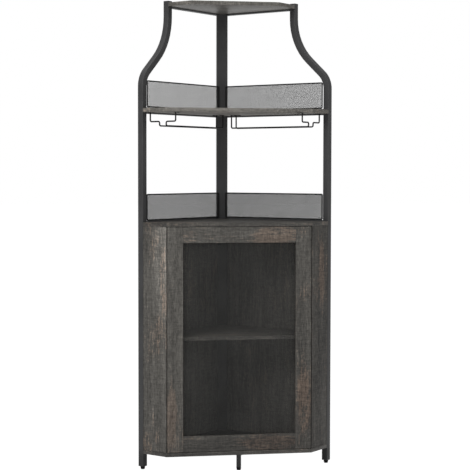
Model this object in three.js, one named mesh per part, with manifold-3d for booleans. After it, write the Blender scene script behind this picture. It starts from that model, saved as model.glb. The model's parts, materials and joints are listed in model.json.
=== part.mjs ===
// Corner wine rack: a bent tube frame with open shelves, wire glass racks and a mesh door cabinet.
// Lengths are millimetres. +Z is up, the door faces -Y and the room corner lies towards +Y.
import * as THREE from "three";
import { mergeVertices } from "three/addons/utils/BufferGeometryUtils.js";
import Module from "manifold-3d";

const wasm = await Module();
wasm.setup();

// Plan of the corner, measured from the room corner along each wall.
const wallSide = 534;
const wingDepth = 138;
const topWallSide = 377;
const topWingDepth = 138;

// Heights: the whole rack, the gap below it and the clear heights of its two open bays.
const overallHeight = 1800;
const floorClearance = 62;
const counterClear = 417;
const displayClear = 398;
const boardThickness = 15;

// Frame tube: side posts, wall rails and the flat back post.
const tubeSide = 24;
const tubeWall = 1.2;
const tubeCorner = 1.5;
const backPostWidth = 44;
const backPostDepth = 20;
const upperBendRadius = 225;
const lowerBendRadius = 80;
const largestBendAngle = THREE.MathUtils.degToRad(47.5);
const straightAboveBend = 57;
const railDrop = 5;

// Caps, plugs and feet.
const capHeight = 2;
const spigotDepth = 12;
const plugDepth = 24;
const footHeight = 12;
const footTopRadius = 9;
const footBaseRadius = 7;
const footRound = 3;
const footStemRadius = 4;
const footStemLength = 30;
const frontLegRadius = 9;
const frontLegSetBack = 20;
const flangeRadius = 17;
const flangeThickness = 2;

// Cabinet walls and the loose shelf.
const backPanelThickness = 12;
const panelSetBack = 1;
const looseShelfSetBack = 25;
const shelfPinRadius = 2.5;
const shelfPinLength = 10;
const shelfPinSocket = 8;
const shelfPinInset = 38;
const backPinPlace = 265;

// Door.
const doorThickness = 15;
const doorFrameWidth = 60;
const doorSideGap = 3;
const doorEndGap = 2;
const rebateWidth = 8;
const rebateDepth = 3;
const meshThickness = 1;
const pivotInset = 10;
const pivotRadius = 3;
const pivotLength = 22;
const pivotSocket = 9;
const bushRadius = 5;
const bushDepth = 14;
const bushFlange = 7;
const bushFlangeThickness = 1.5;

// Magnetic catch.
const catchLength = 46;
const catchDepth = 14;
const catchHeight = 12;
const catchInset = 60;
const strikeLength = 36;
const strikeHeight = 16;
const strikeThickness = 1.2;

// Guards on the shelf and the counter.
const guardHeight = 103;
const guardRod = 2.5;
const guardCorner = 5;
const guardEndGap = 2.8;

// Glass racks.
const rackRod = 2.5;
const rackCentre = 91.5;
const rackSlot = 27;
const rackChannel = 117;
const rackChannelHeight = 33;
const rackStepDrop = 16.5;
const rackFrontInset = 38;
const rackBackInset = 132;
const rackBend = 6;
const tabLength = 26;
const tabWidth = 12;
const tabThickness = 1.5;
const tabHoleRadius = 2.2;

// Nets of the guards and the door.
const netBar = 1.6;
const guardNetRows = 3;
const guardNetColumns = 12;
const doorNetRows = 15;
const doorNetColumns = 10;

// Clearances and the overrun of every cut.
const seatGap = 0.3;
const netSeat = 0.95;
const runningGap = 0.08;
const mergeReach = 0.0003;
const overrun = 5;

// Facets of round pieces.
const roundSides = 16;
const rodSides = 8;
const bendSteps = 8;
const smallBendSteps = 3;

const corner = Math.PI / 4;
const diagonal = Math.SQRT2;

// Heights that follow, from the top down; the cabinet takes what is left above the base board.
const railRise = tubeSide - boardThickness - railDrop;
const postTop = overallHeight - capHeight;
const topUnder = postTop - railRise - boardThickness;
const shelfTop = topUnder - displayClear;
const shelfUnder = shelfTop - boardThickness;
const counterTop = shelfUnder - counterClear;
const counterUnder = counterTop - boardThickness;
const baseTop = floorClearance + boardThickness;
const cabinetClear = counterUnder - baseTop;

// Places in plan that follow from the frame.
const postCentre = wallSide - tubeSide / 2;
const innerFace = tubeSide + seatGap;
const frontReach = (wallSide + wingDepth) / diagonal;
const backPostBack = backPostWidth / 2;
const backPostFront = backPostBack + backPostDepth;
const backPostCentre = (backPostBack + backPostFront) / 2;

function finish(colour, roughness, metalness) {
  return () => new THREE.MeshStandardMaterial({ color: colour, roughness, metalness });
}

const blackSteel = finish(0x3f4042, 0.5, 0.6);
const wireSteel = finish(0x26272a, 0.45, 0.7);
const netSteel = finish(0x2e2f31, 0.5, 0.7);
const rusticWood = finish(0x5b5650, 0.75, 0);
const wingWood = finish(0x6b655e, 0.75, 0);
const darkPlastic = finish(0x1c1c1e, 0.6, 0);
const brightSteel = finish(0x9a9ca0, 0.35, 0.9);

function addPiece(group, name, geometry, material, place = [0, 0, 0]) {
  const mesh = new THREE.Mesh(geometry, material());
  mesh.name = name;
  mesh.position.set(...place);
  group.add(mesh);
  return mesh;
}

// Closed solids pass through manifold-3d only to be joined or cut.
function solidOf(geometry) {
  const bare = new THREE.BufferGeometry();
  const source = geometry.index ? geometry.toNonIndexed() : geometry;
  bare.setAttribute("position", source.getAttribute("position"));
  const merged = mergeVertices(bare, mergeReach);
  const vertProperties = merged.getAttribute("position").array;
  const triVerts = new Uint32Array(merged.index.array);
  return new wasm.Manifold(new wasm.Mesh({ numProp: 3, vertProperties, triVerts }));
}

function geometryOf(solid) {
  const { vertProperties, triVerts } = solid.getMesh();
  const geometry = new THREE.BufferGeometry();
  geometry.setAttribute("position", new THREE.BufferAttribute(vertProperties, 3));
  geometry.setIndex(new THREE.BufferAttribute(triVerts, 1));
  geometry.computeVertexNormals();
  return geometry;
}

function cutAway(geometry, ...tools) {
  return geometryOf(tools.reduce((rest, tool) => rest.subtract(solidOf(tool)), solidOf(geometry)));
}

function joined(first, ...others) {
  return geometryOf(others.reduce((all, other) => all.add(solidOf(other)), solidOf(first)));
}

function outline(points) {
  return new THREE.Shape(points.map(([x, y]) => new THREE.Vector2(x, y)));
}

function prism(shape, low, high) {
  const settings = { depth: high - low, bevelEnabled: false, curveSegments: smallBendSteps };
  return new THREE.ExtrudeGeometry(shape, settings).translate(0, 0, low);
}

function block(x0, x1, y0, y1, z0, z1) {
  const box = new THREE.BoxGeometry(x1 - x0, y1 - y0, z1 - z0);
  return box.translate((x0 + x1) / 2, (y0 + y1) / 2, (z0 + z1) / 2);
}

// An upright cylinder from one height to another.
function rod(radius, low, high, sides = roundSides) {
  const cylinder = new THREE.CylinderGeometry(radius, radius, high - low, sides);
  return cylinder.rotateX(Math.PI / 2).translate(0, 0, (low + high) / 2);
}

function revolved(points) {
  const profile = points.map(([radius, z]) => new THREE.Vector2(radius, z));
  return new THREE.LatheGeometry(profile, roundSides).rotateX(Math.PI / 2);
}

function roundedRectangle(width, depth, radius) {
  const x = width / 2 - radius;
  const y = depth / 2 - radius;
  const quarter = Math.PI / 2;
  const shape = new THREE.Shape();
  shape.absarc(x, y, radius, 0, quarter);
  shape.absarc(-x, y, radius, quarter, 2 * quarter);
  shape.absarc(-x, -y, radius, 2 * quarter, 3 * quarter);
  shape.absarc(x, -y, radius, 3 * quarter, 4 * quarter);
  shape.closePath();
  return shape;
}

// The section of a tube, with its bore left sharp.
function tubeSection(width, depth) {
  const section = roundedRectangle(width, depth, tubeCorner);
  const x = width / 2 - tubeWall;
  const y = depth / 2 - tubeWall;
  section.holes.push(outline([[-x, -y], [-x, y], [x, y], [x, -y]]));
  return section;
}

// A path known at chosen stations, so that a sweep bends only where the tube bends.
class StationPath extends THREE.Curve {
  constructor(stations) {
    super();
    this.stations = stations;
  }
  station(share) {
    return this.stations[Math.round(share * (this.stations.length - 1))];
  }
  getPointAt(share) {
    return this.station(share).point.clone();
  }
  getTangentAt(share) {
    return this.station(share).tangent.clone();
  }
}

// Stations along straight runs joined by arcs of the radii given, with the steps given in each arc.
function stationsAlong(corners, radii, steps) {
  const points = corners.map((p) => new THREE.Vector3(...p));
  const count = points.length;
  const stations = [];
  points.forEach((point, i) => {
    const isEnd = i === 0 || i === count - 1;
    const before = points[Math.max(i - 1, 0)];
    const after = points[Math.min(i + 1, count - 1)];
    const into = point.clone().sub(before).normalize();
    const out = after.clone().sub(point).normalize();
    if (isEnd) {
      stations.push({ point, tangent: i === 0 ? out : into });
      return;
    }
    const turn = into.angleTo(out);
    const radius = radii[i % radii.length];
    const reach = radius * Math.tan(turn / 2);
    const start = point.clone().addScaledVector(into, -reach);
    const side = out.clone().addScaledVector(into, -out.dot(into)).normalize();
    for (let step = 0; step <= steps; step += 1) {
      const angle = (turn * step) / steps;
      const along = radius * Math.sin(angle);
      const across = radius * (1 - Math.cos(angle));
      const tangent = into.clone().multiplyScalar(Math.cos(angle));
      tangent.addScaledVector(side, Math.sin(angle));
      const place = start.clone().addScaledVector(into, along).addScaledVector(side, across);
      stations.push({ point: place, tangent });
    }
  });
  return stations;
}

function sweep(section, stations) {
  const extrudePath = new StationPath(stations);
  const steps = stations.length - 1;
  return new THREE.ExtrudeGeometry(section, { extrudePath, steps, curveSegments: smallBendSteps });
}

function roundSection(radius) {
  const points = [];
  for (let side = 0; side < rodSides; side += 1) {
    const angle = (2 * Math.PI * side) / rodSides;
    points.push([radius * Math.cos(angle), radius * Math.sin(angle)]);
  }
  return outline(points);
}

// A closed ring of rod in the XZ plane: its bevelled edges give the rod eight sides.
function rodRing(x0, x1, z0, z1) {
  const flat = guardRod * Math.tan(corner / 2);
  const bevel = guardRod - flat;
  const grown = [x1 - x0 + 2 * flat, z1 - z0 + 2 * flat];
  const shape = roundedRectangle(...grown, guardCorner + flat);
  const shrunk = [x1 - x0 - 2 * flat, z1 - z0 - 2 * flat];
  shape.holes.push(roundedRectangle(...shrunk, guardCorner - flat));
  const settings = { depth: 2 * flat, bevelSize: bevel, bevelThickness: bevel, bevelSegments: 1 };
  const ring = new THREE.ExtrudeGeometry(shape, { ...settings, curveSegments: smallBendSteps });
  return ring.translate((x0 + x1) / 2, (z0 + z1) / 2, -flat).rotateX(Math.PI / 2);
}

// Both edges of each bar of a net, spread evenly from one side to the other.
function barEdges(span, gaps) {
  const pitch = (span - netBar) / gaps;
  const edges = [];
  for (let bar = 0; bar <= gaps; bar += 1) {
    edges.push(bar * pitch, bar * pitch + netBar);
  }
  return edges;
}

// A flat net of square bars, standing in the XZ plane. Its small square cells keep the facets short.
function net(width, height, columns, rows) {
  const xs = barEdges(width, columns);
  const zs = barEdges(height, rows);
  const half = meshThickness / 2;
  const positions = [];
  const isSolid = (i, j) => {
    const inside = i >= 0 && j >= 0 && i < xs.length - 1 && j < zs.length - 1;
    return inside && (i % 2 === 0 || j % 2 === 0);
  };
  const quad = (a, b, c, d) => positions.push(...a, ...b, ...c, ...a, ...c, ...d);
  for (let i = 0; i < xs.length - 1; i += 1) {
    for (let j = 0; j < zs.length - 1; j += 1) {
      if (!isSolid(i, j)) continue;
      const [x0, x1, z0, z1] = [xs[i], xs[i + 1], zs[j], zs[j + 1]];
      const front = [[x0, -half, z0], [x1, -half, z0], [x1, -half, z1], [x0, -half, z1]];
      const back = front.map(([x, , z]) => [x, half, z]);
      quad(...front);
      quad(back[3], back[2], back[1], back[0]);
      const neighbours = [isSolid(i, j - 1), isSolid(i + 1, j), isSolid(i, j + 1), isSolid(i - 1, j)];
      neighbours.forEach((filled, k) => {
        const next = (k + 1) % neighbours.length;
        if (!filled) quad(front[next], front[k], back[k], back[next]);
      });
    }
  }
  const geometry = new THREE.BufferGeometry();
  geometry.setAttribute("position", new THREE.Float32BufferAttribute(positions, 3));
  geometry.computeVertexNormals();
  return geometry;
}

// The bend of a side post: how far it runs and rises between its two upright stretches.
function postBend(offset) {
  const radii = upperBendRadius + lowerBendRadius;
  const angle = Math.min(largestBendAngle, Math.acos(1 - offset / radii));
  const slopeRun = offset - radii * (1 - Math.cos(angle));
  const slope = slopeRun / Math.sin(angle);
  return { angle, rise: radii * Math.sin(angle) + slope * Math.cos(angle) };
}

function sidePost() {
  const offset = wallSide - topWallSide;
  const { angle, rise } = postBend(offset);
  const bendTop = postTop - straightAboveBend;
  const lowCorner = bendTop - rise + lowerBendRadius * Math.tan(angle / 2);
  const highCorner = bendTop - upperBendRadius * Math.tan(angle / 2);
  const y = tubeSide / 2;
  const corners = [
    [postCentre, y, footHeight],
    [postCentre, y, lowCorner],
    [postCentre - offset, y, highCorner],
    [postCentre - offset, y, postTop],
  ];
  const stations = stationsAlong(corners, [0, lowerBendRadius, upperBendRadius], bendSteps);
  return sweep(tubeSection(tubeSide, tubeSide), stations);
}

// Everything on the room corner's side of the back post's side faces, used to mitre what meets it.
function backPostSideTool(low, high) {
  const halfWidth = backPostBack + seatGap;
  const reach = backPostFront + tubeSide;
  return block(-halfWidth, halfWidth, -reach, overrun, low - overrun, high + overrun).rotateZ(-5 * corner);
}

// The back post with its seat gap, cut out of each board's back corner.
function backPostTool(low, high) {
  const halfWidth = backPostBack + seatGap;
  const reach = backPostFront + seatGap;
  return block(-halfWidth, halfWidth, -reach, overrun, low - overrun, high + overrun).rotateZ(-5 * corner);
}

function wallRail(boardUnder, postFace) {
  const low = boardUnder - railDrop;
  const section = tubeSection(tubeSide, tubeSide);
  const length = postFace - seatGap;
  const tube = prism(section, 0, length).rotateY(Math.PI / 2);
  tube.translate(0, tubeSide / 2, low + tubeSide / 2);
  return cutAway(tube, backPostSideTool(low, low + tubeSide));
}

function backPanel() {
  const low = baseTop + railRise + seatGap;
  const high = counterUnder - railDrop - seatGap;
  const panel = block(0, wallSide - innerFace, tubeSide - backPanelThickness, tubeSide, low, high);
  const { start, end, place } = backPin();
  const socket = rod(shelfPinRadius + seatGap, start - seatGap, end + overrun, rodSides);
  socket.rotateX(-Math.PI / 2).translate(...place);
  return cutAway(panel, backPostSideTool(low, high), socket);
}

// The wing ends parallel to the door's edge, so the gap beside the door stays even.
function wingPanel() {
  const face = wallSide - panelSetBack;
  const tip = wingDepth - panelSetBack;
  const inner = face - boardThickness;
  const points = [[inner, innerFace], [face, innerFace], [face, tip], [inner, tip - boardThickness]];
  const { start, end, place } = wingPin();
  const socket = rod(shelfPinRadius + seatGap, start - seatGap, end + overrun, rodSides);
  socket.rotateY(-Math.PI / 2).translate(...place);
  return cutAway(prism(outline(points), baseTop + seatGap, counterUnder - seatGap), socket);
}

// Each pin that carries the loose shelf starts in its socket and ends below the shelf.
function wingPin() {
  const face = wallSide - panelSetBack - boardThickness;
  const place = [face, wingDepth - panelSetBack - boardThickness - shelfPinInset, shelfPinHeight()];
  return { start: -shelfPinSocket, end: shelfPinLength, place };
}

function backPin() {
  return { start: -shelfPinSocket, end: shelfPinLength, place: [backPinPlace, tubeSide, shelfPinHeight()] };
}

function shelfPinHeight() {
  return looseShelfUnder() - seatGap - shelfPinRadius;
}

function shelfPin({ start, end }) {
  return rod(shelfPinRadius, start, end, rodSides);
}

function guardSpan() {
  const across = tubeSide - guardRod;
  const backEnd = diagonal * (backPostFront + guardRod + seatGap) - across;
  const frontEnd = wallSide - tubeSide - guardEndGap - guardRod;
  return { across, backEnd, frontEnd };
}

function guardFrame(railTop) {
  const { across, backEnd, frontEnd } = guardSpan();
  const low = railTop + seatGap + guardRod;
  const high = railTop + guardHeight - guardRod;
  return rodRing(backEnd, frontEnd, low, high).translate(0, across, 0);
}

function guardNet(railTop) {
  const { across, backEnd, frontEnd } = guardSpan();
  const edge = guardRod + netSeat;
  const width = frontEnd - backEnd - 2 * edge;
  const height = guardHeight - seatGap - 2 * guardRod - 2 * edge;
  const sheet = net(width, height, guardNetColumns, guardNetRows);
  return sheet.translate(backEnd + edge, across, railTop + seatGap + guardRod + edge);
}

// One rod of a glass rack: hanger, shoulder, step, rail along the wall and rear hanger.
function rackRodPiece(side) {
  const rail = rackCentre + (side * (rackSlot + 2 * rackRod)) / 2;
  const hanger = rackCentre + (side * (rackChannel + 2 * rackRod)) / 2;
  const front = wallSide - rackFrontInset;
  const top = shelfUnder - seatGap - tabThickness / 2;
  const shoulder = shelfUnder - rackChannelHeight - rackRod;
  const railHeight = shoulder - rackStepDrop;
  const corners = [
    [front, hanger, top],
    [front, hanger, shoulder],
    [front, rail, shoulder],
    [front, rail, railHeight],
    [rackBackInset, rail, railHeight],
    [rackBackInset, rail, top],
  ];
  const rodGeometry = sweep(roundSection(rackRod), stationsAlong(corners, [rackBend], smallBendSteps));
  return joined(rodGeometry, rackTab(front, hanger, -1), rackTab(rackBackInset, rail, 1));
}

// A flat tab with a screw hole, welded to the top of a hanger.
function rackTab(along, across, direction) {
  const high = shelfUnder - seatGap;
  const low = high - tabThickness;
  const near = along - direction * (rackRod + tabThickness);
  const far = near + direction * tabLength;
  const [start, end] = [Math.min(near, far), Math.max(near, far)];
  const plate = block(start, end, across - tabWidth / 2, across + tabWidth / 2, low, high);
  const holeAlong = far - (direction * tabWidth) / 2;
  const hole = rod(tabHoleRadius, low - overrun, high + overrun, rodSides).translate(holeAlong, across, 0);
  return cutAway(plate, hole);
}

function postPlug() {
  const side = tubeSide - 2 * (tubeWall + seatGap);
  const plug = block(-side / 2, side / 2, -side / 2, side / 2, footHeight, footHeight + plugDepth);
  return cutAway(plug, stemBore());
}

function stemBore() {
  return rod(footStemRadius + runningGap, footHeight - overrun, footHeight + plugDepth + overrun);
}

function foot() {
  const shoulder = footHeight - seatGap;
  return revolved([
    [0, 0],
    [footBaseRadius - footRound / 2, 0],
    [footBaseRadius, footRound / 2],
    [footTopRadius, shoulder - footRound],
    [footTopRadius, shoulder],
    [footStemRadius, shoulder],
    [footStemRadius, footStemLength],
    [0, footStemLength],
  ]);
}

function postCap() {
  const inside = tubeSide - 2 * (tubeWall + seatGap);
  const low = postTop + seatGap;
  const lid = prism(roundedRectangle(tubeSide, tubeSide, tubeCorner), low, postTop + capHeight);
  const spigot = block(-inside / 2, inside / 2, -inside / 2, inside / 2, postTop - spigotDepth, low);
  return joined(lid, spigot);
}

// Pieces that each side of the rack has once; the right side is the left side's mirror image.
function buildSide(side, group) {
  const wing = wallSide - tubeSide;
  const topWing = topWallSide - tubeSide;
  const postPlace = [postCentre, tubeSide / 2, 0];
  const topPostPlace = [topWallSide - tubeSide / 2, tubeSide / 2, 0];
  addPiece(group, side + "_post", sidePost(), blackSteel);
  addPiece(group, side + "_post_cap", postCap(), darkPlastic, topPostPlace);
  addPiece(group, side + "_post_plug", postPlug(), darkPlastic, postPlace);
  addPiece(group, side + "_levelling_foot", foot(), darkPlastic, postPlace);
  addPiece(group, side + "_base_rail", wallRail(floorClearance, wing), blackSteel);
  addPiece(group, side + "_counter_rail", wallRail(counterUnder, wing), blackSteel);
  addPiece(group, side + "_shelf_rail", wallRail(shelfUnder, wing), blackSteel);
  addPiece(group, side + "_top_rail", wallRail(topUnder, topWing), blackSteel);
  addPiece(group, side + "_back_panel", backPanel(), rusticWood);
  addPiece(group, side + "_wing_panel", wingPanel(), wingWood);
  const wingPinGeometry = shelfPin(wingPin()).rotateY(-Math.PI / 2);
  const backPinGeometry = shelfPin(backPin()).rotateX(-Math.PI / 2);
  addPiece(group, side + "_wing_shelf_pin", wingPinGeometry, brightSteel, wingPin().place);
  addPiece(group, side + "_back_shelf_pin", backPinGeometry, brightSteel, backPin().place);
  for (const [level, boardTop] of [["counter", counterTop], ["shelf", shelfTop]]) {
    const railTop = boardTop + railRise;
    addPiece(group, side + "_" + level + "_guard_frame", guardFrame(railTop), wireSteel);
    addPiece(group, side + "_" + level + "_guard_net", guardNet(railTop), netSteel);
  }
  addPiece(group, side + "_rack_wall_rod", rackRodPiece(-1), wireSteel);
  addPiece(group, side + "_rack_room_rod", rackRodPiece(1), wireSteel);
}

// A five-sided board that fits inside the wall rails and round the back post.
function board(side, wing, low) {
  const high = low + boardThickness;
  const points = [[innerFace, innerFace], [side, innerFace], [side, wing], [wing, side], [innerFace, side]];
  return cutAway(prism(outline(points), low, high), backPostTool(low, high));
}

function pivotPlace() {
  const x = (wallSide - wingDepth) / diagonal - doorSideGap - pivotInset;
  return [x, -(frontReach - doorThickness / 2)];
}

// The pivot's place turned into the boards' own directions along the walls.
function pivotSocketTool(low, high) {
  const [x, y] = pivotPlace();
  return rod(pivotRadius + seatGap, low, high).translate(x, y, 0).rotateZ(-5 * corner);
}

function looseShelf() {
  const side = wallSide - panelSetBack - boardThickness - seatGap;
  const front = diagonal * (frontReach - doorThickness - looseShelfSetBack);
  return board(side, front - side, looseShelfUnder());
}

function looseShelfUnder() {
  return baseTop + (cabinetClear - boardThickness) / 2;
}

function buildBoards(group) {
  const base = board(wallSide, wingDepth, floorClearance);
  const counter = board(wallSide, wingDepth, counterUnder);
  const baseSocket = pivotSocketTool(baseTop - pivotSocket, baseTop + overrun);
  const counterSocket = pivotSocketTool(counterUnder - overrun, counterUnder + pivotSocket);
  addPiece(group, "base_board", cutAway(base, baseSocket), rusticWood);
  addPiece(group, "counter_board", cutAway(counter, counterSocket), rusticWood);
  addPiece(group, "shelf_board", board(wallSide, wingDepth, shelfUnder), rusticWood);
  addPiece(group, "top_board", board(topWallSide, topWingDepth, topUnder), rusticWood);
  addPiece(group, "loose_shelf", looseShelf(), rusticWood);
}

function buildBackPost(group) {
  const place = [0, -backPostCentre, 0];
  const section = tubeSection(backPostWidth, backPostDepth);
  const inside = [backPostWidth, backPostDepth].map((size) => size / 2 - tubeWall - seatGap);
  const [x, y] = inside;
  const plug = block(-x, x, -y, y, footHeight, footHeight + plugDepth);
  const lidLow = postTop + seatGap;
  const lid = prism(roundedRectangle(backPostWidth, backPostDepth, tubeCorner), lidLow, postTop + capHeight);
  const spigot = block(-x, x, -y, y, postTop - spigotDepth, lidLow);
  addPiece(group, "back_post", prism(section, footHeight, postTop), blackSteel, place);
  addPiece(group, "back_post_plug", cutAway(plug, stemBore()), darkPlastic, place);
  addPiece(group, "back_post_cap", joined(lid, spigot), darkPlastic, place);
  addPiece(group, "back_levelling_foot", foot(), darkPlastic, place);
}

function buildFrontLeg(group) {
  const place = [0, -(frontReach - frontLegSetBack), 0];
  const high = floorClearance - seatGap;
  const bore = frontLegRadius - tubeWall;
  const post = rod(frontLegRadius, footHeight, high);
  const flange = rod(flangeRadius, high - flangeThickness, high);
  const leg = cutAway(joined(post, flange), rod(bore, footHeight - overrun, high - flangeThickness));
  const plug = rod(bore - seatGap, footHeight, footHeight + plugDepth);
  addPiece(group, "front_leg", leg, blackSteel, place);
  addPiece(group, "front_leg_plug", cutAway(plug, stemBore()), darkPlastic, place);
  addPiece(group, "front_levelling_foot", foot(), darkPlastic, place);
}

// Door frame members have a rebate behind, where the net lies.
function stile(left, right, rebateLeft, low, high) {
  const front = -frontReach;
  const body = block(left, right, front, front + doorThickness, low, high);
  const leftEdge = [left - overrun, left + rebateWidth];
  const rightEdge = [right - rebateWidth, right + overrun];
  const rebateSide = rebateLeft ? leftEdge : rightEdge;
  const depth = [front + doorThickness - rebateDepth, front + doorThickness + overrun];
  const opening = [low + doorFrameWidth - rebateWidth, high - doorFrameWidth + rebateWidth];
  return cutAway(body, block(...rebateSide, ...depth, ...opening));
}

function doorRail(left, right, low, high, rebateLow, rebateHigh) {
  const front = -frontReach;
  const body = block(left, right, front, front + doorThickness, low, high);
  const depth = [front + doorThickness - rebateDepth, front + doorThickness + overrun];
  return cutAway(body, block(left - overrun, right + overrun, ...depth, rebateLow, rebateHigh));
}

function bush(end) {
  const face = end > 0 ? counterUnder - doorEndGap : baseTop + doorEndGap;
  const flangeEdge = face + end * bushFlangeThickness;
  const deep = face - end * bushDepth;
  const body = rod(bushRadius, Math.min(face, deep), Math.max(face, deep));
  const flange = rod(bushFlange, Math.min(face, flangeEdge), Math.max(face, flangeEdge));
  const bore = rod(pivotRadius + runningGap, Math.min(face, deep) - overrun, Math.max(face, deep) + overrun);
  return cutAway(joined(body, flange), bore);
}

function buildDoor(group) {
  const half = (wallSide - wingDepth) / diagonal - doorSideGap;
  const low = baseTop + doorEndGap;
  const high = counterUnder - doorEndGap;
  const opening = { side: half - doorFrameWidth, low: low + doorFrameWidth, high: high - doorFrameWidth };
  const railEnd = opening.side - seatGap;
  const [pivotX, pivotY] = pivotPlace();
  const bushHole = [bushRadius + seatGap, bushDepth + seatGap];
  const lowHole = rod(bushHole[0], low - overrun, low + bushHole[1]).translate(pivotX, pivotY, 0);
  const highHole = rod(bushHole[0], high - bushHole[1], high + overrun).translate(pivotX, pivotY, 0);
  const rightStile = stile(opening.side, half, true, low, high);
  addPiece(group, "door_left_stile", stile(-half, -opening.side, false, low, high), rusticWood);
  addPiece(group, "door_right_stile", cutAway(rightStile, lowHole, highHole), rusticWood);
  const topRebate = [opening.high - overrun, opening.high + rebateWidth];
  const lowRebate = [opening.low - rebateWidth, opening.low + overrun];
  const topRail = doorRail(-railEnd, railEnd, opening.high, high, ...topRebate);
  const bottomRail = doorRail(-railEnd, railEnd, low, opening.low, ...lowRebate);
  addPiece(group, "door_top_rail", topRail, rusticWood);
  addPiece(group, "door_bottom_rail", bottomRail, rusticWood);
  const spread = rebateWidth - seatGap;
  const width = 2 * (opening.side + spread);
  const height = opening.high - opening.low + 2 * spread;
  const netY = -frontReach + doorThickness - rebateDepth + seatGap + meshThickness / 2;
  const netPlace = [-width / 2, netY, opening.low - spread];
  addPiece(group, "door_net", net(width, height, doorNetColumns, doorNetRows), netSteel, netPlace);
  addPiece(group, "door_upper_bush", bush(1), darkPlastic, [pivotX, pivotY, 0]);
  addPiece(group, "door_lower_bush", bush(-1), darkPlastic, [pivotX, pivotY, 0]);
}

function buildPivotPins(group) {
  const [x, y] = pivotPlace();
  const lowStart = baseTop - pivotSocket + seatGap;
  const highEnd = counterUnder + pivotSocket - seatGap;
  const lowPin = rod(pivotRadius, lowStart, lowStart + pivotLength);
  const highPin = rod(pivotRadius, highEnd - pivotLength, highEnd);
  addPiece(group, "lower_pivot_pin", lowPin, brightSteel, [x, y, 0]);
  addPiece(group, "upper_pivot_pin", highPin, brightSteel, [x, y, 0]);
}

function buildCatch(group, doorGroup) {
  const centre = -((wallSide - wingDepth) / diagonal - catchInset);
  const doorBack = -frontReach + doorThickness;
  const high = counterUnder - seatGap;
  const front = doorBack + seatGap + strikeThickness + seatGap;
  const half = catchLength / 2;
  const body = block(centre - half, centre + half, front, front + catchDepth, high - catchHeight, high);
  addPiece(group, "magnetic_catch", body, darkPlastic);
  const strikeHalf = strikeLength / 2;
  const strikeHigh = counterUnder - doorEndGap - seatGap;
  const plateBack = doorBack + seatGap;
  const plate = [centre - strikeHalf, centre + strikeHalf, plateBack, plateBack + strikeThickness];
  const strike = block(...plate, strikeHigh - strikeHeight, strikeHigh);
  addPiece(doorGroup, "strike_plate", strike, brightSteel);
}

const rack = new THREE.Group();
rack.position.y = (frontReach + backPostBack) / 2;

const boards = new THREE.Group();
boards.rotation.z = 5 * corner;
const leftSide = boards.clone();
const rightSide = new THREE.Group();
const rightWall = boards.clone();
rightSide.scale.x = -1;
rightSide.add(rightWall);
const door = new THREE.Group();
rack.add(boards, leftSide, rightSide, door);

buildSide("left", leftSide);
buildSide("right", rightWall);
buildBoards(boards);
buildBackPost(rack);
buildFrontLeg(rack);
buildDoor(door);
buildPivotPins(rack);
buildCatch(rack, door);

export default rack;
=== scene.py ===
# Corner wine rack, dressed for its render: bent tube frame, rustic boards, wire racks and a mesh door.
# Lengths are metres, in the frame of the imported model. +Z is up and the door faces -Y.
import json
import math

import bmesh
import bpy
from mathutils import Matrix, Vector

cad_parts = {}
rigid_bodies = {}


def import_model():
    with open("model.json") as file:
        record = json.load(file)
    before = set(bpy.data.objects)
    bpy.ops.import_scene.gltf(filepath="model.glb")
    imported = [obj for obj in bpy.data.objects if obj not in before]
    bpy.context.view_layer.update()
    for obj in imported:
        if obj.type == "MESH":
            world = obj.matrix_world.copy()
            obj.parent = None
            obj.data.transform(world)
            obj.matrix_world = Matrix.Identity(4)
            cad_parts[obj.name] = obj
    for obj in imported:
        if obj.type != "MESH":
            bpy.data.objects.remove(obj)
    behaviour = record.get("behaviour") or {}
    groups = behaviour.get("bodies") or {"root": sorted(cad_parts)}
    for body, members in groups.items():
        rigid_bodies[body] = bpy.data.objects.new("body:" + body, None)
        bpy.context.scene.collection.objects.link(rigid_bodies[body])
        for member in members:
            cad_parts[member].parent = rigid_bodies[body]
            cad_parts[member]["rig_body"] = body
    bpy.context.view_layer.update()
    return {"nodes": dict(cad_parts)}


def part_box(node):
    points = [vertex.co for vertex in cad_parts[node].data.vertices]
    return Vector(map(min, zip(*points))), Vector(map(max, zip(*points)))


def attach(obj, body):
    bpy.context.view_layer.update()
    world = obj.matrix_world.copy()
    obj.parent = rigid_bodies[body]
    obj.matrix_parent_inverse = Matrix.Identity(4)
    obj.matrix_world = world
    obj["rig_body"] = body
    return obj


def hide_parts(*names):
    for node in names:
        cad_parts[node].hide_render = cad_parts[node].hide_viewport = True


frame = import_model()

CORNER = math.radians(45)
QUARTER = math.radians(90)
FULL = math.radians(360)

# Boards and plastic pieces
SEAT_GAP = 0.0003
BOARD_EASE = 0.0007
CAP_EASE = 0.0004
CATCH_EASE = 0.0008
STRIKE_EASE = 0.0003
SAME_PLACE = 1e-6

# Rods, guards and nets. A guard reaches that much further towards its post, and the two layers of a net
# lie that share of a wire's radius off its middle.
ROD_SIDES = 16
ROD_BEND_STEPS = 5
GUARD_ROD_RADIUS = 0.0025
GUARD_BEND = 0.004
GUARD_REACH = {"shelf": 0.0, "counter": 0.0023}
WIRE_SIDES = 6
LAYER_SHIFT = 0.7
WIRE_PITCH = {"shelf": 0.00125, "counter": 0.002, "door": 0.002}
WIRE_RADIUS = {
    "left_shelf": 0.00021,
    "right_shelf": 0.00026,
    "left_counter": 0.00044,
    "right_counter": 0.00053,
    "door": 0.0003,
}

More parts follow.
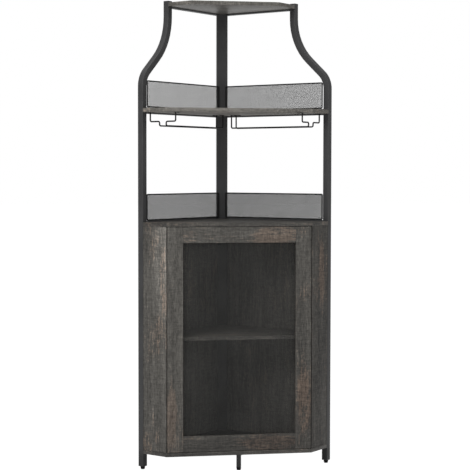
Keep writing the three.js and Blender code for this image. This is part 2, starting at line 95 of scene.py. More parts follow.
# Glass racks. Along is measured from the room corner, across from the wall.
CORNER_BEHIND_POST = 0.022
RACK_ROD_RADIUS = 0.0028
RACK_BEND = 0.006
RACK_FRONT = 0.496
RACK_BACK = 0.132
RACK_RAIL_LIFT = 0.0025
RACK_STEP = 0.0165
RACK_ACROSS = {"wall": (0.0755, 0.0305), "room": (0.1075, 0.1525)}
TAB_LENGTH = 0.026
TAB_WIDTH = 0.012
TAB_THICKNESS = 0.0015
TAB_ROUNDING = 0.003
TAB_OVERHANG = 0.004
TAB_SCREW = 0.02
SCREW_RADIUS = 0.0036
SCREW_SIDES = 20
SCREW_DOME = ((0.0, -0.0019), (0.55, -0.0017), (0.9, -0.0009), (1.0, 0.0), (0.0, 0.0))

# Feet and front leg
LATHE_STEPS = 40
FOOT_PROFILE = (
    (0.0, 0.0), (0.006, 0.0), (0.0068, 0.0003), (0.0074, 0.001), (0.0078, 0.002), (0.0088, 0.0072),
    (0.009, 0.0086), (0.009, 0.0112), (0.0086, 0.0117), (0.004, 0.0117), (0.004, 0.03), (0.0, 0.03),
)
LEG_RADIUS = 0.009
LEG_BORE = 0.0078
LEG_PLATE = 0.002
LEG_WELD = ((0.0, 0.0028), (0.0006, 0.0012), (0.0022, 0.0))
LEG_PLATE_EASE = 0.0004

# Light and camera, for a square picture
FLOOR_REACH = 40.0
FLOOR_GREY = 0.7
FLOOR_OWN_LIGHT = 0.3
FLOOR_GLOW = 1.08
FLOOR_GLOW_SHARE = 0.9
ROOM_LIGHT = 0.42
LAMPS = (
    ("key", (-2.8, -3.4, 3.4), (0.0, 0.0, 0.9), 2.2, 145.0),
    ("fill", (3.2, -2.8, 1.8), (0.0, 0.0, 0.9), 2.6, 42.0),
    ("top light", (0.0, 0.0, 6.0), (0.0, 0.0, 0.0), 4.0, 160.0),
)
PICTURE_WIDTH = 470.0
FOCAL_PIXELS = 1384.8
SENSOR_WIDTH = 36.0
CAMERA_PLACE = (-0.8843, -5.3873, 1.1479)
CAMERA_YAW = 0.1661
CAMERA_PITCH = 0.047
CAMERA_ROLL = 0.0015


# Node trees

class Tree:
    """A node tree that is filled by short calls."""

    def __init__(self, tree):
        self.tree = tree

    def add(self, kind, inputs=None, **settings):
        node = self.tree.nodes.new(kind)
        for name, value in settings.items():
            setattr(node, name, value)
        for key, value in (inputs or {}).items():
            self.feed(node.inputs[key], value)
        return node

    def feed(self, socket, value):
        if isinstance(value, bpy.types.NodeSocket):
            self.tree.links.new(value, socket)
        else:
            socket.default_value = value

    def math(self, operation, first, second=0.0):
        return self.add("ShaderNodeMath", {0: first, 1: second}, operation=operation).outputs[0]

    def stretch(self, vector, scale):
        node = self.add("ShaderNodeVectorMath", {0: vector, 1: scale}, operation="MULTIPLY")
        return node.outputs[0]

    def noise(self, vector, scale=1.0, detail=2.0, roughness=0.55):
        inputs = {"Vector": vector, "Scale": scale, "Detail": detail, "Roughness": roughness}
        return self.add("ShaderNodeTexNoise", inputs).outputs["Fac"]

    def spread(self, value, low, high, to_low=0.0, to_high=1.0):
        inputs = {"Value": value, "From Min": low, "From Max": high, "To Min": to_low, "To Max": to_high}
        return self.add("ShaderNodeMapRange", inputs).outputs["Result"]

    def mix(self, share, first, second):
        node = self.add("ShaderNodeMix", data_type="RGBA")
        for socket, value in zip((node.inputs[0], node.inputs[6], node.inputs[7]), (share, first, second)):
            self.feed(socket, value)
        return node.outputs[2]

    def ramp(self, value, stops):
        node = self.add("ShaderNodeValToRGB", {"Fac": value})
        elements = node.color_ramp.elements
        while len(elements) < len(stops):
            elements.new(0.5)
        for element, (place, colour) in zip(elements, stops):
            element.position = place
            element.color = colour
        return node.outputs["Color"]


def grey(value):
    return (value, value, value, 1.0)


def group(name, inputs, outputs):
    tree = bpy.data.node_groups.new(name, "ShaderNodeTree")
    for direction, sockets in (("INPUT", inputs), ("OUTPUT", outputs)):
        for socket_name, kind in sockets:
            tree.interface.new_socket(name=socket_name, in_out=direction, socket_type="NodeSocket" + kind)
    made = Tree(tree)
    return made, made.add("NodeGroupInput"), made.add("NodeGroupOutput")


# Grain of the wood: how its drift, its tone, its wear and its relief are put together
DRIFT_STRETCH = (7.0, 7.0, 2.5)
DRIFT_REACH = (0.03, 0.03, 0.0)
BANDS_IN_TONE = 0.3
STREAKS_IN_TONE = 0.32
FIBRES_IN_TONE = 0.24
MOTTLE_IN_TONE = 0.36
SAWN_IN_TONE = 0.3
STREAKS_IN_WEAR = 0.6
MOTTLE_IN_WEAR = 0.7
PATCH_IN_WEAR = 0.26
WEAR_SHOWS = (0.61, 0.73)
FIBRES_IN_RELIEF = 0.5
PORES_IN_RELIEF = 0.35
SAWN_IN_RELIEF = 0.3
PORE_DARKNESS = 0.5
PORE_COLOUR = (0.013, 0.012, 0.011, 1.0)
STAINED = (
    (0.36, (0.014, 0.013, 0.012, 1.0)),
    (0.52, (0.045, 0.042, 0.037, 1.0)),
    (0.66, (0.088, 0.083, 0.074, 1.0)),
    (0.84, (0.21, 0.196, 0.175, 1.0)),
)
BARE = (
    (0.4, (0.035, 0.024, 0.018, 1.0)),
    (0.6, (0.135, 0.098, 0.074, 1.0)),
    (0.82, (0.33, 0.255, 0.2, 1.0)),
)


def rustic_grain():
    """Sawn, brushed and greyed wood. The grain runs along Z of the vector that comes in."""
    t, start, end = group(
        "Rustic grain",
        (
            ("Vector", "Vector"), ("Shift", "Vector"), ("Worn", "Float"),
            ("Patch", "Float"), ("Paleness", "Float"),
        ),
        (("Color", "Color"), ("Roughness", "Float"), ("Height", "Float")),
    )
    shift = {0: start.outputs["Vector"], 1: start.outputs["Shift"]}
    shifted = t.add("ShaderNodeVectorMath", shift).outputs[0]
    slow = {"Vector": t.stretch(shifted, DRIFT_STRETCH), "Scale": 1.0, "Detail": 1.0}
    drift = t.add("ShaderNodeTexNoise", slow)
    centred = t.add(
        "ShaderNodeVectorMath", {0: drift.outputs["Color"], 1: (0.5, 0.5, 0.5)}, operation="SUBTRACT",
    )
    swing = t.stretch(centred.outputs[0], DRIFT_REACH)
    wavy = t.add("ShaderNodeVectorMath", {0: shifted, 1: swing}).outputs[0]
    bands = t.noise(t.stretch(wavy, (30.0, 30.0, 2.2)), detail=2.0)
    streaks = t.noise(t.stretch(wavy, (150.0, 150.0, 12.0)), detail=3.0, roughness=0.62)
    fibres = t.noise(t.stretch(wavy, (520.0, 520.0, 38.0)), detail=3.0, roughness=0.7)
    mottle = t.noise(t.stretch(wavy, (150.0, 150.0, 75.0)), detail=4.0, roughness=0.75)
    pores = t.spread(t.noise(t.stretch(wavy, (620.0, 620.0, 45.0)), detail=1.0), 0.3, 0.42)
    sawn = t.noise(t.stretch(shifted, (28.0, 28.0, 210.0)), detail=3.0, roughness=0.65)
    tone = t.math("MULTIPLY", bands, BANDS_IN_TONE)
    tone = t.math("ADD", tone, t.math("MULTIPLY", streaks, STREAKS_IN_TONE))
    tone = t.math("ADD", tone, t.math("MULTIPLY", fibres, FIBRES_IN_TONE))
    tone = t.math("ADD", tone, t.math("MULTIPLY", mottle, MOTTLE_IN_TONE))
    tone = t.math("ADD", tone, t.math("MULTIPLY", t.math("SUBTRACT", sawn, 0.5), SAWN_IN_TONE))
    tone = t.math("ADD", tone, start.outputs["Paleness"])
    place = t.noise(t.stretch(wavy, (8.5, 8.5, 3.6)), detail=2.0)
    torn = t.math("MULTIPLY", t.math("SUBTRACT", streaks, 0.5), STREAKS_IN_WEAR)
    torn = t.math("ADD", torn, t.math("MULTIPLY", t.math("SUBTRACT", mottle, 0.5), MOTTLE_IN_WEAR))
    wear = t.math("ADD", place, t.math("MULTIPLY", start.outputs["Patch"], PATCH_IN_WEAR))
    worn = t.spread(t.math("ADD", wear, torn), *WEAR_SHOWS)
    worn = t.math("MULTIPLY", worn, start.outputs["Worn"])
    colour = t.mix(worn, t.ramp(tone, STAINED), t.ramp(tone, BARE))
    filled = t.math("MULTIPLY", t.math("SUBTRACT", 1.0, pores), PORE_DARKNESS)
    t.feed(end.inputs["Color"], t.mix(filled, colour, PORE_COLOUR))
    t.feed(end.inputs["Roughness"], t.spread(fibres, 0.3, 0.7, 0.85, 0.62))
    relief = t.math("MULTIPLY", fibres, FIBRES_IN_RELIEF)
    relief = t.math("ADD", relief, t.math("MULTIPLY", pores, PORES_IN_RELIEF))
    relief = t.math("ADD", relief, t.math("MULTIPLY", sawn, SAWN_IN_RELIEF))
    t.feed(end.inputs["Height"], relief)
    return t.tree


def powder_coat():
    """Fine orange peel and slight cloudiness of a sprayed coat."""
    t, start, end = group(
        "Powder coat",
        (("Vector", "Vector"), ("Grain", "Float")),
        (("Tone", "Float"), ("Roughness", "Float"), ("Height", "Float")),
    )
    vector = start.outputs["Vector"]
    peel = t.noise(vector, start.outputs["Grain"], 2.0, 0.6)
    cloud = t.noise(vector, 9.0, 3.0, 0.6)
    t.feed(end.inputs["Tone"], t.spread(t.math("ADD", cloud, t.math("MULTIPLY", peel, 0.35)), 0.4, 0.95))
    t.feed(end.inputs["Roughness"], t.spread(cloud, 0.3, 0.7, 0.42, 0.56))
    t.feed(end.inputs["Height"], peel)
    return t.tree


def settled_dust():
    """Faint dust that settles on faces that look upwards."""
    t, start, end = group("Settled dust", (("Vector", "Vector"), ("Amount", "Float")), (("Mask", "Float"),))
    normal = t.add("ShaderNodeNewGeometry").outputs["Normal"]
    facing = t.add("ShaderNodeSeparateXYZ", {0: normal}).outputs["Z"]
    upward = t.spread(facing, 0.5, 1.0)
    patchy = t.spread(t.noise(start.outputs["Vector"], 34.0, 4.0, 0.65), 0.35, 0.8)
    mask = t.math("MULTIPLY", t.math("MULTIPLY", upward, patchy), start.outputs["Amount"])
    t.feed(end.inputs["Mask"], mask)
    return t.tree


GRAIN = rustic_grain()
COAT = powder_coat()
DUST = settled_dust()
DUST_COLOUR = (0.4, 0.39, 0.37, 1.0)
DUST_ON_WOOD = 0.05
DUST_ON_STEEL = 0.06
WOOD_GLOSS = 0.35
WOOD_RELIEF = 0.0004
PALE_STEP = 0.15
# Painted shade near the floor: the heights over which a coat darkens, and the grey it darkens to.
FLOOR_SHADE_HEIGHTS = (0.08, 0.05)
FLOOR_SHADE_GREY = 0.003
REGION_FADES = (1.2, 0.5)


def material(name):
    made = bpy.data.materials.new(name)
    made.use_nodes = True
    tree = Tree(made.node_tree)
    shader = made.node_tree.nodes["Principled BSDF"]
    place = tree.add("ShaderNodeTexCoord").outputs["Object"]
    return made, tree, shader, place


def bump(tree, shader, height, strength, depth):
    inputs = {"Height": height, "Strength": strength, "Distance": depth}
    tree.feed(shader.inputs["Normal"], tree.add("ShaderNodeBump", inputs).outputs["Normal"])


def dusted(tree, place, colour, amount):
    mask = tree.add("ShaderNodeGroup", node_tree=DUST)
    tree.feed(mask.inputs["Vector"], place)
    tree.feed(mask.inputs["Amount"], amount)
    return tree.mix(mask.outputs["Mask"], colour, DUST_COLOUR)


def region(tree, place, centre, reach):
    """One in the middle of an egg-shaped region, fading to nothing at its edge."""
    away = tree.add("ShaderNodeVectorMath", {0: place, 1: centre}, operation="SUBTRACT").outputs[0]
    scaled = tree.stretch(away, tuple(1.0 / r for r in reach))
    length = tree.add("ShaderNodeVectorMath", {0: scaled}, operation="LENGTH").outputs["Value"]
    return tree.spread(length, *REGION_FADES)


def wood(name, turn, shift, worn, paleness, patch=None, pale=None, dullness=1.0):
    """Patch is the centre and reach of a worn place, pale that of a place where the wood is paler."""
    made, tree, shader, place = material(name)
    turned = tree.add("ShaderNodeMapping", {"Vector": place, "Rotation": turn}).outputs["Vector"]
    grain = tree.add("ShaderNodeGroup", node_tree=GRAIN)
    if pale:
        paler_share = tree.math("MULTIPLY", region(tree, place, *pale), PALE_STEP)
        paleness = tree.math("ADD", paler_share, paleness)
    rubbed = region(tree, place, *patch) if patch else 0.0
    values = {"Vector": turned, "Shift": shift, "Worn": worn, "Patch": rubbed, "Paleness": paleness}
    for key, value in values.items():
        tree.feed(grain.inputs[key], value)
    tree.feed(shader.inputs["Base Color"], dusted(tree, place, grain.outputs["Color"], DUST_ON_WOOD))
    tree.feed(shader.inputs["Roughness"], tree.math("MULTIPLY", grain.outputs["Roughness"], dullness))
    shader.inputs["Specular IOR Level"].default_value = WOOD_GLOSS
    bump(tree, shader, grain.outputs["Height"], 0.35, WOOD_RELIEF)
    return made


def coated(name, dark, light, grain, depth, gloss, floor_shade=0.0):
    """The last argument is how much darker the coat is painted close to the floor: painted shade, standing in
    for the lower ends of the legs getting less light.
    """
    made, tree, shader, place = material(name)
    coat = tree.add("ShaderNodeGroup", node_tree=COAT)
    tree.feed(coat.inputs["Vector"], place)
    tree.feed(coat.inputs["Grain"], grain)
    colour = tree.mix(coat.outputs["Tone"], dark, light)
    height = tree.add("ShaderNodeSeparateXYZ", {0: place}).outputs["Z"]
    # Painted shade: the colour darkens between the two heights, towards the floor.
    colour = tree.mix(tree.spread(height, *FLOOR_SHADE_HEIGHTS, 0.0, floor_shade), colour, grey(FLOOR_SHADE_GREY))
    tree.feed(shader.inputs["Base Color"], dusted(tree, place, colour, DUST_ON_STEEL))
    tree.feed(shader.inputs["Roughness"], coat.outputs["Roughness"])
    shader.inputs["Specular IOR Level"].default_value = gloss
    bump(tree, shader, coat.outputs["Height"], 0.25, depth)
    return made


def plated_steel():
    """Zinc plate with fine drawn lines."""
    made, tree, shader, place = material("Plated steel")
    lines = tree.noise(tree.stretch(place, (900.0, 900.0, 60.0)), detail=2.0)
    tree.feed(shader.inputs["Base Color"], tree.ramp(lines, ((0.3, grey(0.38)), (0.7, grey(0.62)))))
    tree.feed(shader.inputs["Roughness"], tree.spread(lines, 0.3, 0.7, 0.22, 0.4))
    shader.inputs["Metallic"].default_value = 1.0
    bump(tree, shader, lines, 0.15, 0.0001)
    return made


UPRIGHT = (0.0, 0.0, 0.0)
LEVEL = (0.0, QUARTER, 0.0)

# The tube is painted darker near the floor: painted shade on the lower ends of the legs.
FRAME_STEEL = coated(
    "Charcoal tube", (0.021, 0.021, 0.0215, 1), (0.036, 0.036, 0.037, 1), 1400.0, 0.0001, 0.35, floor_shade=0.7,
)
WIRE_STEEL = coated("Black rod", grey(0.004), grey(0.01), 2200.0, 0.00005, 0.12)
DOOR_MESH = coated("Door mesh", (0.022, 0.022, 0.021, 1), (0.04, 0.04, 0.038, 1), 2600.0, 0.00003, 0.35)
MESH_STEEL = coated("Fine mesh", grey(0.012), grey(0.026), 2600.0, 0.00003, 0.3)
PLASTIC = coated("Moulded plastic", grey(0.002), grey(0.005), 1800.0, 0.00008, 0.08)
PLATED = plated_steel()
TOP_WOOD = wood("Rustic top board", LEVEL, (0.3, 1.2, 0.1), 0.6, 0.04, dullness=0.52)
SHELF_WOOD = wood("Rustic shelf", LEVEL, (0.3, 1.2, 0.1), 0.6, 0.06, dullness=0.9)
LOOSE_WOOD = wood("Rustic loose shelf", LEVEL, (2.3, 0.2, 1.1), 0.5, 0.2)
COUNTER_WOOD = wood("Rustic counter", LEVEL, (3.3, 0.2, 4.1), 0.5, -0.11, dullness=0.7)
WALL_WOOD = wood("Rustic back panel", UPRIGHT, (2.1, 0.4, 0.7), 0.5, 0.12)
LEFT_WING_WOOD = wood(
    "Rustic left wing", UPRIGHT, (4.3, 0.9, 0.2), 0.75, -0.045,
    patch=((-0.288, -0.21, 0.74), (0.02, 0.2, 0.13)), pale=((-0.29, -0.21, 0.82), (0.05, 0.2, 0.24)),
)
# Its stain is set darker than the left wing's: painted shade for the wing that faces away from the key lamp.
RIGHT_WING_WOOD = wood(
    "Rustic right wing", UPRIGHT, (1.9, 5.1, 4.4), 0.75, -0.128,
    patch=((0.33, -0.18, 0.76), (0.014, 0.2, 0.17)),
)
LEFT_STILE_WOOD = wood(
    "Rustic left stile", UPRIGHT, (1.6, 3.3, 2.5), 0.5, -0.03,
    patch=((-0.26, -0.22, 0.25), (0.02, 0.2, 0.12)),
)
RIGHT_STILE_WOOD = wood(
    "Rustic right stile", UPRIGHT, (9.4, 0.7, 1.9), 0.85, -0.08,
    patch=((0.25, -0.22, 0.25), (0.04, 0.2, 0.18)),
)
TOP_RAIL_WOOD = wood(
    "Rustic top rail", LEVEL, (0.8, 5.2, 0.6), 0.62, -0.06,
    patch=((0.145, -0.22, 0.9), (0.1, 0.2, 0.06)),
)
BOTTOM_RAIL_WOOD = wood(
    "Rustic bottom rail", LEVEL, (1.1, 0.4, 7.9), 0.7, -0.15,
    patch=((0.14, -0.22, 0.1), (0.12, 0.2, 0.035)),
)


# Meshes

def body_of(node):
    return frame["nodes"][node]["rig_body"]


def finished(bm, name, body, surface, smooth_below=35.0):
    """Turns a bmesh into a piece: smooth where its faces turn gently, sharp elsewhere."""
    limit = math.radians(smooth_below)
    for edge in bm.edges:
        edge.smooth = edge.is_manifold and edge.calc_face_angle(0.0) < limit
    for face in bm.faces:
        face.smooth = True
    mesh = bpy.data.meshes.new(name)
    bm.to_mesh(mesh)
    bm.free()
    piece = bpy.data.objects.new(name, mesh)
    piece.data.materials.append(surface)
    bpy.context.scene.collection.objects.link(piece)
    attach(piece, body)
    return piece


def merged_copy(node):
    """The node's own shape with the corners of its loose triangles joined."""
    bm = bmesh.new()
    bm.from_mesh(frame["nodes"][node].data)
    bmesh.ops.remove_doubles(bm, verts=bm.verts, dist=SAME_PLACE)
    return bm


def whole_faces(bm):
    """Joins the triangles of each flat face, so that only real edges are left to ease."""
    bmesh.ops.dissolve_limit(bm, angle_limit=math.radians(0.2), verts=bm.verts, edges=bm.edges)


def finished_eased(bm, node, surface, width):
    """Rounds the sharp edges over and puts the piece in the node's place."""
    limit = math.radians(40.0)
    sharp = [e for e in bm.edges if e.is_manifold and e.calc_face_angle(0.0) > limit]
    options = {"affect": "EDGES", "profile": 0.5, "material": -1, "clamp_overlap": True}
    bmesh.ops.bevel(bm, geom=sharp, offset=width, segments=2, **options)
    bmesh.ops.triangulate(bm, faces=[f for f in bm.faces if len(f.verts) > 4])
    piece = finished(bm, node + "_eased", body_of(node), surface, 50.0)
    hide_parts(node)


def eased_node(node, surface, width):
    bm = merged_copy(node)
    whole_faces(bm)
    finished_eased(bm, node, surface, width)


def smoothed_node(node, surface, smooth_below=35.0):
    piece = finished(merged_copy(node), node + "_smooth", body_of(node), surface, smooth_below)
    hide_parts(node)


def sweep_ring(bm, corners, bend, radius, closed=False):
    """Pulls a ring of points along straight runs with round bends between them."""
    points = [Vector(corner) for corner in corners]
    first = (points[1] - points[0]).normalized()
    place = Matrix.Translation(points[0]) @ first.to_track_quat("Z", "X").to_matrix().to_4x4()
    options = {"segments": ROD_SIDES, "radius": radius, "cap_ends": not closed, "matrix": place}
    made = bmesh.ops.create_circle(bm, **options)
    ring = {e for v in made["verts"] for e in v.link_edges}
    at = points[0].copy()
    for i in range(1, len(points)):
        run = (points[i] - points[i - 1]).normalized()
        last = i == len(points) - 1
        turn = 0.0 if last else run.angle(points[i + 1] - points[i])
        reach = 0.0 if last else bend * math.tan(turn / 2)
        goal = points[i] - run * reach
        grown = bmesh.ops.extrude_edge_only(bm, edges=list(ring))["geom"]
        verts = [g for g in grown if isinstance(g, bmesh.types.BMVert)]
        ring = {g for g in grown if isinstance(g, bmesh.types.BMEdge)}
        ring = {e for e in ring if all(v in verts for v in e.verts)}
        bmesh.ops.translate(bm, verts=verts, vec=goal - at)
        at = goal
        if last:
            break
        out = (points[i + 1] - points[i]).normalized()
        axis = run.cross(out).normalized()
        centre = goal + axis.cross(run).normalized() * bend
        spun = bmesh.ops.spin(
            bm, geom=list(ring), cent=centre, axis=axis, dvec=(0, 0, 0), angle=turn, steps=ROD_BEND_STEPS,
            use_merge=False, use_normal_flip=False, use_duplicate=False,
        )
        ring = {g for g in spun["geom_last"] if isinstance(g, bmesh.types.BMEdge)}
        at = points[i] + out * reach
    if closed:
        bmesh.ops.remove_doubles(bm, verts=bm.verts, dist=1e-5)
    else:
        bmesh.ops.contextual_create(bm, geom=list(ring))
    bmesh.ops.recalc_face_normals(bm, faces=bm.faces)


def turned(bm, profile, centre, steps=LATHE_STEPS):
    """Spins a profile of (radius, height) points round a centre, as on a lathe."""
    verts = [bm.verts.new((r, 0.0, z)) for r, z in profile]
    edges = [bm.edges.new(pair) for pair in zip(verts, verts[1:])]
    bmesh.ops.spin(
        bm, geom=verts + edges, cent=(0, 0, 0), axis=(0, 0, 1), dvec=(0, 0, 0), angle=FULL, steps=steps,
        use_merge=True, use_normal_flip=False, use_duplicate=False,
    )
    bmesh.ops.translate(bm, verts=bm.verts, vec=centre)
    bmesh.ops.remove_doubles(bm, verts=bm.verts, dist=SAME_PLACE)
    bmesh.ops.recalc_face_normals(bm, faces=bm.faces)


def box_middle(node):
    low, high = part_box(node)
    return (low + high) / 2, high - low


def back_panel(node):
    """Closes the seat gap beside the back post, where daylight would shine through as a bright line."""
    bm = merged_copy(node)
    whole_faces(bm)
    post_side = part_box("back_post")[1].x
    for vert in bm.verts:
        if abs(abs(vert.co.x) - post_side - SEAT_GAP) < SEAT_GAP:
            vert.co.x = math.copysign(post_side, vert.co.x)
    finished_eased(bm, node, WALL_WOOD, BOARD_EASE)


# Frame of tubes and boards

for side in ("left", "right"):
    smoothed_node(side + "_post", FRAME_STEEL)
    for level in ("base", "counter", "shelf", "top"):
        smoothed_node(f"{side}_{level}_rail", FRAME_STEEL)
    wing_wood = LEFT_WING_WOOD if side == "left" else RIGHT_WING_WOOD
    eased_node(side + "_wing_panel", wing_wood, BOARD_EASE)
    back_panel(side + "_back_panel")
smoothed_node("back_post", FRAME_STEEL)
eased_node("top_board", TOP_WOOD, BOARD_EASE)
eased_node("shelf_board", SHELF_WOOD, BOARD_EASE)
eased_node("loose_shelf", LOOSE_WOOD, BOARD_EASE)
eased_node("base_board", COUNTER_WOOD, BOARD_EASE)
eased_node("counter_board", COUNTER_WOOD, BOARD_EASE)
eased_node("door_left_stile", LEFT_STILE_WOOD, BOARD_EASE)
eased_node("door_right_stile", RIGHT_STILE_WOOD, BOARD_EASE)
eased_node("door_top_rail", TOP_RAIL_WOOD, BOARD_EASE)
eased_node("door_bottom_rail", BOTTOM_RAIL_WOOD, BOARD_EASE)
for post in ("left_post", "right_post", "back_post"):
    eased_node(post + "_cap", PLASTIC, CAP_EASE)
    smoothed_node(post + "_plug", PLASTIC)
smoothed_node("front_leg_plug", PLASTIC)
for bush in ("door_upper_bush", "door_lower_bush"):
    smoothed_node(bush, PLASTIC)
for pin in ("lower_pivot_pin", "upper_pivot_pin"):
    smoothed_node(pin, PLATED)
for pin in ("left_wing", "left_back", "right_wing", "right_back"):
    smoothed_node(pin + "_shelf_pin", PLATED, 50.0)


# Feet and front leg

def levelling_foot(name):
    middle, size = box_middle(name)
    bm = bmesh.new()
    turned(bm, FOOT_PROFILE, middle - Vector((0.0, 0.0, size.z / 2)))
    piece = finished(bm, name + "_turned", body_of(name), PLASTIC, 40.0)
    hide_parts(name)


for foot in ("left", "right", "back", "front"):
    levelling_foot(foot + "_levelling_foot")


def front_leg():
    """A tube with a weld bead under its round plate."""
    middle, size = box_middle("front_leg")
    low = middle.z - size.z / 2
    top = low + size.z
    under = top - LEG_PLATE
    rim = size.x / 2
    weld = [(LEG_RADIUS + out, under - down) for out, down in LEG_WELD]
    plate = [
        (rim - LEG_PLATE_EASE, under), (rim, under + LEG_PLATE_EASE),
        (rim, top - LEG_PLATE_EASE / 2), (rim - LEG_PLATE_EASE / 2, top), (0.0, top),
    ]
    tube = [(LEG_BORE, low), (LEG_RADIUS, low)]
    inside = [(0.0, under), (LEG_BORE, under), (LEG_BORE, low)]
    bm = bmesh.new()
    turned(bm, tube + weld + plate + inside, (middle.x, middle.y, 0.0))
    piece = finished(bm, "front_leg_turned", body_of("front_leg"), FRAME_STEEL, 40.0)
    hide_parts("front_leg")


front_leg()


# Guards: bent rod frames with fine wire mesh

WALL_TURN = {"left": -3 * CORNER, "right": -CORNER}


def guard_plane(node, side):
    """A matrix whose X runs along the wall, away from the back post, and whose Y is the guard's own depth."""
    middle, size = box_middle(node)
    turn = Matrix.Rotation(WALL_TURN[side], 4, "Z")
    return Matrix.Translation(middle) @ turn, size


def wire(bm, place, length, radius, turn=Matrix.Identity(4)):
    """One thin wire, centred. It stands upright unless it is turned."""
    matrix = Matrix.Translation(place) @ turn
    ends = {"radius1": radius, "radius2": radius, "cap_ends": True}
    bmesh.ops.create_cone(bm, segments=WIRE_SIDES, depth=length, matrix=matrix, **ends)


def woven_panel(width, height, pitch, radius, matrix):
    """A fine mesh of straight wires that sink into each other a little where they are welded."""
    bm = bmesh.new()
    level = Matrix.Rotation(QUARTER, 4, "Y")
    depth = radius * LAYER_SHIFT
    across = round(width / pitch)
    up = round(height / pitch)
    for i in range(across + 1):
        wire(bm, (width * (i / across - 0.5), -depth, 0.0), height, radius)
    for i in range(up + 1):
        wire(bm, (0.0, depth, height * (i / up - 0.5)), width, radius, level)
    bmesh.ops.transform(bm, matrix=matrix, verts=bm.verts)
    return bm


def guard(side, level):
    """A ring of bent rod on one wall, with its net."""
    frame_node = f"{side}_{level}_guard_frame"
    net_node = f"{side}_{level}_guard_net"
    place, size = guard_plane(frame_node, side)
    reach = GUARD_REACH[level]
    place = place @ Matrix.Translation((reach / 2, 0.0, 0.0))
    rod = 2 * GUARD_ROD_RADIUS
    length = size.x / math.cos(CORNER) - rod + reach
    half = length / 2 - GUARD_ROD_RADIUS
    rise = size.z / 2 - GUARD_ROD_RADIUS
    start = (0, 0, -rise)
    corners = [start, (half, 0, -rise), (half, 0, rise), (-half, 0, rise), (-half, 0, -rise), start]
    bm = bmesh.new()
    sweep_ring(bm, corners, GUARD_BEND, GUARD_ROD_RADIUS, closed=True)
    bmesh.ops.transform(bm, matrix=place, verts=bm.verts)
    piece = finished(bm, frame_node + "_bent", body_of(frame_node), WIRE_STEEL)
    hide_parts(frame_node)
    width = length - 2 * rod + GUARD_ROD_RADIUS
    height = size.z - 2 * rod + GUARD_ROD_RADIUS
    net = woven_panel(width, height, WIRE_PITCH[level], WIRE_RADIUS[f"{side}_{level}"], place)
    piece = finished(net, net_node + "_woven", body_of(net_node), MESH_STEEL, 70.0)
    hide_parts(net_node)


for side in ("left", "right"):
    for level in ("counter", "shelf"):
        guard(side, level)


# Glass racks: two bent rods under the shelf along each wall

def rack_point(side, along, across, height):
    """A point given by its distance along its own wall and its distance from that wall."""
    x = (along - across) * math.sin(CORNER)
    corner_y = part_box("back_post")[1].y + CORNER_BEHIND_POST
    y = corner_y - (along + across) * math.cos(CORNER)
    return Vector((-x if side == "left" else x, y, height))


def glass_rod(node, side, rail, hanger):
    """A rod with a hanger, a shoulder and a step. Rail and hanger are distances from the wall."""
    low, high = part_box(node)
    top = high.z - TAB_THICKNESS
    level = low.z + RACK_RAIL_LIFT
    shoulder = level + RACK_STEP
    route = [
        (RACK_FRONT, hanger, top), (RACK_FRONT, hanger, shoulder), (RACK_FRONT, rail, shoulder),
        (RACK_FRONT, rail, level), (RACK_BACK, rail, level), (RACK_BACK, rail, top),
    ]
    bm = bmesh.new()
    sweep_ring(bm, [rack_point(side, *point) for point in route], RACK_BEND, RACK_ROD_RADIUS)
    piece = finished(bm, node + "_bent", body_of(node), WIRE_STEEL)
    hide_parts(node)
    rack_tab(node, "front", side, RACK_FRONT, hanger, -1)
    rack_tab(node, "back", side, RACK_BACK, rail, 1)


def rack_tab(node, end, side, along, across, sign):
    """A flat pad welded on the rod's end, with a screw through it. It lies towards the rack's middle."""
    name = f"{node}_{end}_tab"
    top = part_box(node)[1].z
    near = along - sign * TAB_OVERHANG
    centre = rack_point(side, near + sign * TAB_LENGTH / 2, across, top - TAB_THICKNESS / 2)
    place = Matrix.Translation(centre) @ Matrix.Rotation(WALL_TURN[side], 4, "Z")
    shape = Matrix.Diagonal((TAB_LENGTH, TAB_WIDTH, TAB_THICKNESS, 1.0))
    bm = bmesh.new()
    bmesh.ops.create_cube(bm, size=1.0, matrix=place @ shape)
    uprights = [e for e in bm.edges if abs((e.verts[0].co - e.verts[1].co).normalized().z) > 0.9]
    options = {"affect": "EDGES", "profile": 0.5, "material": -1}
    bmesh.ops.bevel(bm, geom=uprights, offset=TAB_ROUNDING, segments=4, **options)
    finished(bm, name, body_of(node), WIRE_STEEL)
    dome = [(share * SCREW_RADIUS, height) for share, height in SCREW_DOME]
    bm = bmesh.new()
    turned(bm, dome, rack_point(side, near + sign * TAB_SCREW, across, top - TAB_THICKNESS), SCREW_SIDES)
    finished(bm, name + "_screw", body_of(node), WIRE_STEEL)


for side in ("left", "right"):
    for place, (rail, hanger) in RACK_ACROSS.items():
        glass_rod(f"{side}_rack_{place}_rod", side, rail, hanger)


# Door net, catch and strike plate

def door_net():
    middle, size = box_middle("door_net")
    place = Matrix.Translation(middle)
    net = woven_panel(size.x, size.z, WIRE_PITCH["door"], WIRE_RADIUS["door"], place)
    piece = finished(net, "door_net_woven", body_of("door_net"), DOOR_MESH, 70.0)
    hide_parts("door_net")


door_net()
eased_node("magnetic_catch", PLASTIC, CATCH_EASE)
eased_node("strike_plate", PLATED, STRIKE_EASE)


# Floor, light and camera

def held_white(tree, shader, glow, share, output):
    """Mixes the glow into the shader by the given share."""
    both = tree.add("ShaderNodeMixShader", {0: share, 1: shader.outputs[0], 2: glow.outputs[0]})
    tree.feed(output.inputs["Surface"], both.outputs[0])


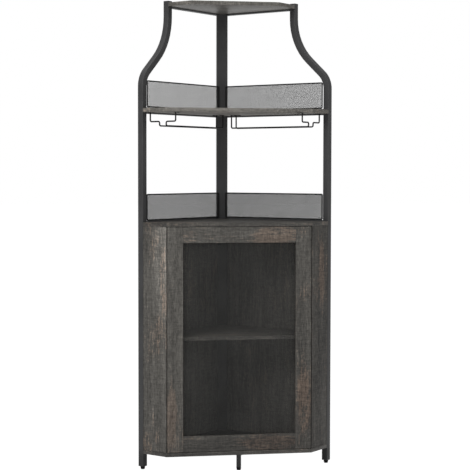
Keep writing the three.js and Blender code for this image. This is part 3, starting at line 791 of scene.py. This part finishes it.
def floor():
    """A pale floor that is held white for the lens."""
    bm = bmesh.new()
    bmesh.ops.create_grid(bm, x_segments=1, y_segments=1, size=FLOOR_REACH)
    mesh = bpy.data.meshes.new("floor")
    bm.to_mesh(mesh)
    bm.free()
    made, tree, shader, _ = material("Pale floor")
    shader.inputs["Base Color"].default_value = grey(FLOOR_GREY)
    shader.inputs["Roughness"].default_value = 0.9
    shader.inputs["Emission Color"].default_value = grey(1.0)
    shader.inputs["Emission Strength"].default_value = FLOOR_OWN_LIGHT
    glow = tree.add("ShaderNodeEmission", {"Color": grey(1.0), "Strength": FLOOR_GLOW})
    seen = tree.add("ShaderNodeLightPath").outputs["Is Camera Ray"]
    share = tree.math("MULTIPLY", seen, FLOOR_GLOW_SHARE)
    held_white(tree, shader, glow, share, made.node_tree.nodes["Material Output"])
    mesh.materials.append(made)
    ground = bpy.data.objects.new("floor", mesh)
    bpy.context.scene.collection.objects.link(ground)


def soft_lamp(name, place, aim, size, power):
    data = bpy.data.lights.new(name, "AREA")
    data.shape = "DISK"
    data.size = size
    data.energy = power
    lamp = bpy.data.objects.new(name, data)
    lamp.location = place
    lamp.rotation_euler = (Vector(aim) - Vector(place)).to_track_quat("-Z", "Y").to_euler()
    bpy.context.scene.collection.objects.link(lamp)


def studio():
    """A white ground for the lens, a dimmer room for the light, and three soft lamps."""
    world = bpy.data.worlds.new("Studio")
    world.use_nodes = True
    tree = Tree(world.node_tree)
    room = world.node_tree.nodes["Background"]
    room.inputs["Color"].default_value = grey(1.0)
    room.inputs["Strength"].default_value = ROOM_LIGHT
    ground = tree.add("ShaderNodeBackground", {"Color": grey(1.0), "Strength": 1.0})
    seen = tree.add("ShaderNodeLightPath").outputs["Is Camera Ray"]
    held_white(tree, room, ground, seen, world.node_tree.nodes["World Output"])
    bpy.context.scene.world = world
    bpy.context.scene.view_settings.view_transform = "Standard"
    for lamp in LAMPS:
        soft_lamp(*lamp)


def camera():
    """Stands where the photographer stood: found by matching known corners of the rack."""
    data = bpy.data.cameras.new("camera")
    data.sensor_width = SENSOR_WIDTH
    data.lens = FOCAL_PIXELS / PICTURE_WIDTH * SENSOR_WIDTH
    data.clip_end = 200.0
    yaw = Matrix.Rotation(-CAMERA_YAW, 3, "Z")
    pitch = Matrix.Rotation(QUARTER - CAMERA_PITCH, 3, "X")
    roll = Matrix.Rotation(CAMERA_ROLL, 3, "Z")
    viewer = bpy.data.objects.new("camera", data)
    viewer.location = CAMERA_PLACE
    viewer.rotation_euler = (yaw @ pitch @ roll).to_euler()
    bpy.context.scene.collection.objects.link(viewer)
    bpy.context.scene.camera = viewer


floor()
studio()
camera()
